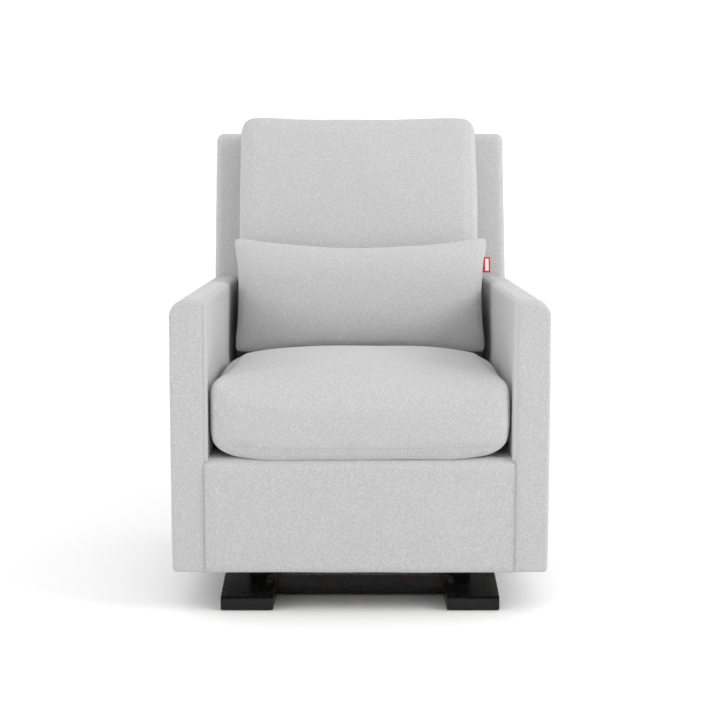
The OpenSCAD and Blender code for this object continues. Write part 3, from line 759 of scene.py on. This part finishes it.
def seat_cushion():
    """The loose seat cushion, which rests on the deck and follows the front panel's roll."""
    unit, faces = block_grid((76, 76, 24))
    middle = lambda u: 1 - np.abs(u[:, 0]) ** 3
    side = lambda u: 0.006 + 0.042 * smoothstep(-u[:, 2], 0.1, 1.0) + 0.016 * smoothstep(u[:, 2], 0.2, 1.0)
    front = lambda u: 0.006 + 0.070 * smoothstep(u[:, 2], 0.0, 0.9) * middle(u)
    top = lambda u: 0.022 + 0.044 * middle(u) * (1 - smoothstep(u[:, 1], -1.0, -0.1))
    limit = SEAT_HALF + 0.0003
    soft = rounded(unit, (-limit, FRONT + 0.003, SEAT_LOW[2] + 0.001),
                   (limit, SEAT_HIGH[1] - 0.004, SEAT_LOW[2] + SEAT_EDGE),
                   [(side, side), (front, 0.035), (0.030, top)])
    piece = make_object("seat_cushion", seat_shape(soft), faces, cloth)
    inflate(piece, pressure=3.0, cap=0.004)
    points = points_of(piece)
    points[:, 0] = np.clip(points[:, 0], -limit, limit)
    before_roll = np.clip(FRONT + PANEL_R - points[:, 1], 0, 0.98 * PANEL_R)
    support = SEAT_LOW[2] + 0.0002 - PANEL_R + np.sqrt(PANEL_R ** 2 - before_roll ** 2)
    points[:, 2] = np.maximum(points[:, 2], support)
    set_points(piece, points)
    undulate(piece, 0.0012, 0.16, seed=21)
    return seamed(piece, "seat_cushion", [seat_seam()], width=0.007, depth=0.0028, radius=0.0008)


ASIDE = 0.004       # how far the back cushion sits to the left
REST_HALF = 0.287   # half of its width
REST_LOW, REST_TOP = -0.148, 0.371   # its ends, up the back's face from the arm tops
REST_DEEP = 0.142   # how far it stands out of the back's face


def back_cushion():
    """The back cushion, lying against the back's raked front face."""
    half, bottom, top = REST_HALF, REST_LOW, REST_TOP
    unit, faces = block_grid((60, 18, 54))
    side = lambda u: 0.010 + 0.020 * smoothstep(np.abs(u[:, 2]), 0.80, 1.0)
    end = lambda u: 0.012 + 0.018 * smoothstep(np.abs(u[:, 0]), 0.80, 1.0)
    soft = rounded(unit, (-half, -REST_DEEP, bottom), (half, -0.002, top),
                   [(side, side), (0.022, 0.012), (end, end)])
    x, out, up = soft[:, 0], -soft[:, 1], soft[:, 2]
    across = 1 - np.abs(x / half) ** 2.4
    height = (up - bottom) / (top - bottom)
    tall = np.clip(1 - np.abs(2 * height - 0.95) ** 2.6, 0, 1)
    forward = np.clip(out / REST_DEEP, 0, 1)
    out = out + 0.010 * across * tall * forward
    up = up - 0.0055 * across * smoothstep(height, 0.75, 1.0)
    x = x * (1 + 0.010 * smoothstep(1 - height, 0.0, 0.8)) - ASIDE
    piece = make_object("back_cushion", on_face(x, out, up), faces, cloth)
    inflate(piece, pressure=3.0, cap=0.003)
    undulate(piece, 0.0014, 0.19, seed=33)
    edge = half - 0.004
    climb = [(edge + 0.003, bottom + 0.06), (edge + 0.001, top - 0.10),
             (edge, top - 0.03), (edge - 0.028, top)]
    route = [(-x, 0.122, up) for x, up in climb] + [(0, 0.120, top - 0.005)]
    route += [(x, 0.122, up) for x, up in reversed(climb)]
    seam = [on_face(x - ASIDE, out, up) for x, out, up in route]
    return seamed(piece, "back_cushion", [seam], width=0.006, depth=0.0016, radius=0.0007)


PILLOW_HALF_H = 0.1460   # half of its height
PILLOW_TOP_HALF, PILLOW_LOW_HALF, PILLOW_WAIST = 0.3005, 0.2930, 0.2845   # half widths: top, foot, middle
PILLOW_THICK = 0.050     # half of its greatest thickness


def pillow_outline(u, v):
    """Across and up of the lumbar pillow's face at u, v from -1 to 1.

    Its sides pull in between the ears, and its top and bottom edges sag in the middle."""
    ear = (np.abs(u) ** 8) * (np.abs(v) ** 8)
    widest = np.where(v > 0, PILLOW_TOP_HALF, PILLOW_LOW_HALF)
    x = u * (widest - (widest - PILLOW_WAIST) * (1 - np.abs(v) ** 2.0) * np.abs(u) ** 2)
    sag = np.where(v > 0, 0.0290, 0.012) * (1 - u ** 2) * np.abs(v) ** 1.5
    up = v * PILLOW_HALF_H - np.sign(v) * sag
    x = x - np.sign(u) * np.where(v > 0, 0.006, 0.010) * ear
    up = up - np.sign(v) * np.where(v > 0, 0.007, 0.012) * ear
    return x, up


def pillow():
    """Two panels sewn edge to edge, filled, with soft ears at the corners."""
    across, tall = 92, 46
    quarter = math.pi / 2 * 0.92   # closer rows towards the edges
    us = np.sin(np.linspace(-1, 1, across + 1) * quarter) / math.sin(quarter)
    vs = np.sin(np.linspace(-1, 1, tall + 1) * quarter) / math.sin(quarter)
    grid_u, grid_v = np.meshgrid(us, vs, indexing="ij")
    x, up = pillow_outline(grid_u, grid_v)
    full = (1 - np.abs(grid_u) ** 5.0) ** 0.62 * (1 - np.abs(grid_v) ** 2.3) ** 0.60
    thick = PILLOW_THICK * full
    points = []
    faces = []
    count = (across + 1) * (tall + 1)
    for sign in (1, -1):
        points.append(on_face(x, PILLOW_OUT + sign * thick, PILLOW_UP + up).reshape(-1, 3))
        base = 0 if sign > 0 else count
        for i in range(across):
            for j in range(tall):
                a = base + i * (tall + 1) + j
                faces.append((a, a + 1, a + tall + 2, a + tall + 1))
    piece = make_object("lumbar_pillow", np.vstack(points), faces, cloth)
    inflate(piece, pressure=2.5, cap=0.004, voxel=0.005)
    undulate(piece, 0.0012, 0.13, seed=44)
    rim = [(u, -1) for u in us] + [(1, v) for v in vs[1:]]
    rim += [(u, 1) for u in us[::-1][1:]] + [(-1, v) for v in vs[::-1][1:]]
    path = []
    for u, v in rim:
        px, pu = pillow_outline(np.array(float(u)), np.array(float(v)))
        path.append(tuple(on_face(px, PILLOW_OUT, PILLOW_UP + pu)))
    return seamed(piece, "lumbar_pillow", [path], width=0.004, depth=0.0006, radius=0.0009, sink=0.0003)


def label():
    """A small folded loop sewn into the pillow's side seam."""
    width = 0.0215
    tall = 0.0364
    margin = 0.004     # from the label's ends to its pale patch
    start = LABEL_END - width
    fold = 0.0011      # radius of the fold, half of the label's thickness
    turn = start + width - 0.001
    section = [(start, fold), (turn, fold)]
    section += arc((turn, 0), fold, 75, -75, 6)
    section += [(turn, -fold), (start, -fold)]
    inner = [(px - 0.0002, py * 0.45) for px, py in reversed(section)]
    loop = section + inner
    rows = 13
    up0 = PILLOW_UP + 0.054
    points = []
    for row in range(rows):
        up = up0 + tall * row / (rows - 1)
        bow = 0.0008 * math.sin(math.pi * row / (rows - 1))
        points += [on_face(px, PILLOW_OUT + py + bow, up) for px, py in loop]
    count = len(loop)
    faces = ring_faces(rows, count)
    for base in (0, (rows - 1) * count):
        for i in range(len(section) - 1):
            a, b = base + i, base + i + 1
            c, d = base + count - 2 - i, base + count - 1 - i
            faces.append((a, b, c, d))
    piece = make_object("pillow_label", points, faces, label_red, smooth=False)
    patches = []
    patch_faces = [(0, 1, 2, 3), (7, 6, 5, 4), (0, 4, 5, 1), (1, 5, 6, 2), (2, 6, 7, 3), (3, 7, 4, 0)]
    inner_x, outer_x = LABEL_END - 0.0119, LABEL_END - 0.0040
    corner = [(inner_x, up0 + margin), (outer_x, up0 + margin),
              (outer_x, up0 + tall - margin), (inner_x, up0 + tall - margin)]
    for face_side in (1, -1):
        outer = face_side * (fold + 0.00015) + 0.0007
        quad = [on_face(px, PILLOW_OUT + outer, pu) for px, pu in corner]
        back = [on_face(px, PILLOW_OUT + outer - face_side * 0.0004, pu) for px, pu in corner]
        patches.append(make_object(f"label_patch{face_side}", quad + back, patch_faces, label_white,
                                   smooth=False))
    return join("label", [piece] + patches)


seat = seat_cushion()
stand_for(seat, "seat_cushion", "grey_fabric", "seat_cushion_cover", "seat_cushion_core")
rest = back_cushion()
stand_for(rest, "chair", "grey_fabric", "back_cushion_cover", "back_cushion_core")
lumbar = pillow()
stand_for(lumbar, "lumbar_pillow", "grey_fabric", "pillow_cover", "pillow_fill")
tag = label()
stand_for(tag, "lumbar_pillow", "label_red", "pillow_label")

# ---------------------------------------------------------------- floor, light and camera

SKY = 1.06         # strength of the white sky as light
SEEN_SKY = 1.26    # its strength where the camera sees it
LIT_PLACE = (0, 0, 0.45)


def area_light(name, place, aim, side, power):
    """A square lamp facing the place it is aimed at."""
    lamp = bpy.data.lights.new(name, "AREA")
    lamp.shape = "SQUARE"
    lamp.size = side
    lamp.energy = power
    made = bpy.data.objects.new(name, lamp)
    made.location = place
    made.rotation_euler = (Vector(aim) - Vector(place)).to_track_quat("-Z", "Y").to_euler()
    bpy.context.scene.collection.objects.link(made)
    return made


def studio():
    """A white floor and a white sky, lit softly from both sides."""
    bpy.context.scene.view_settings.view_transform = "Standard"
    floor_look, tree, shader, add = node_material("pale_floor", (0.93, 0.93, 0.93), 0.6)
    away = add("ShaderNodeVectorMath", {0: object_coords(add, (1, 1, 1))}, operation="LENGTH")
    glow = curve_range(add, away.outputs["Value"], 1.2, 4.5, 0.0, 0.20)
    shader.inputs["Emission Color"].default_value = (1, 1, 1, 1)
    tree.links.new(glow, shader.inputs["Emission Strength"])
    wide, near, far = 30, -12, 60
    corners = [(-wide, near, 0), (wide, near, 0), (wide, far, 0), (-wide, far, 0)]
    make_object("floor", corners, [(0, 1, 2, 3)], floor_look)
    world = bpy.data.worlds.new("studio")
    world.use_nodes = True
    nodes, links = world.node_tree.nodes, world.node_tree.links
    nodes["Background"].inputs["Color"].default_value = (1.0, 1.0, 1.0, 1)
    seen = nodes.new("ShaderNodeLightPath")
    strength = nodes.new("ShaderNodeMath")
    strength.operation = "MULTIPLY_ADD"
    links.new(seen.outputs["Is Camera Ray"], strength.inputs[0])
    strength.inputs[1].default_value = SEEN_SKY - SKY
    strength.inputs[2].default_value = SKY
    links.new(strength.outputs[0], nodes["Background"].inputs["Strength"])
    bpy.context.scene.world = world
    area_light("right", (3.9, -1.9, 2.9), LIT_PLACE, side=1.8, power=112)
    area_light("left", (-4.2, -1.9, 2.3), LIT_PLACE, side=2.0, power=42)


def camera():
    """Looks down slightly at the chair's front, from on its middle plane."""
    lens = bpy.data.cameras.new("camera")
    lens.lens = 72.9
    lens.sensor_width = 36.0
    made = bpy.data.objects.new("camera", lens)
    made.location = (0.0, -3.345, 0.866)
    made.rotation_euler = (math.radians(90 - 6.86), 0, 0)
    bpy.context.scene.collection.objects.link(made)
    bpy.context.scene.camera = made


studio()
camera()
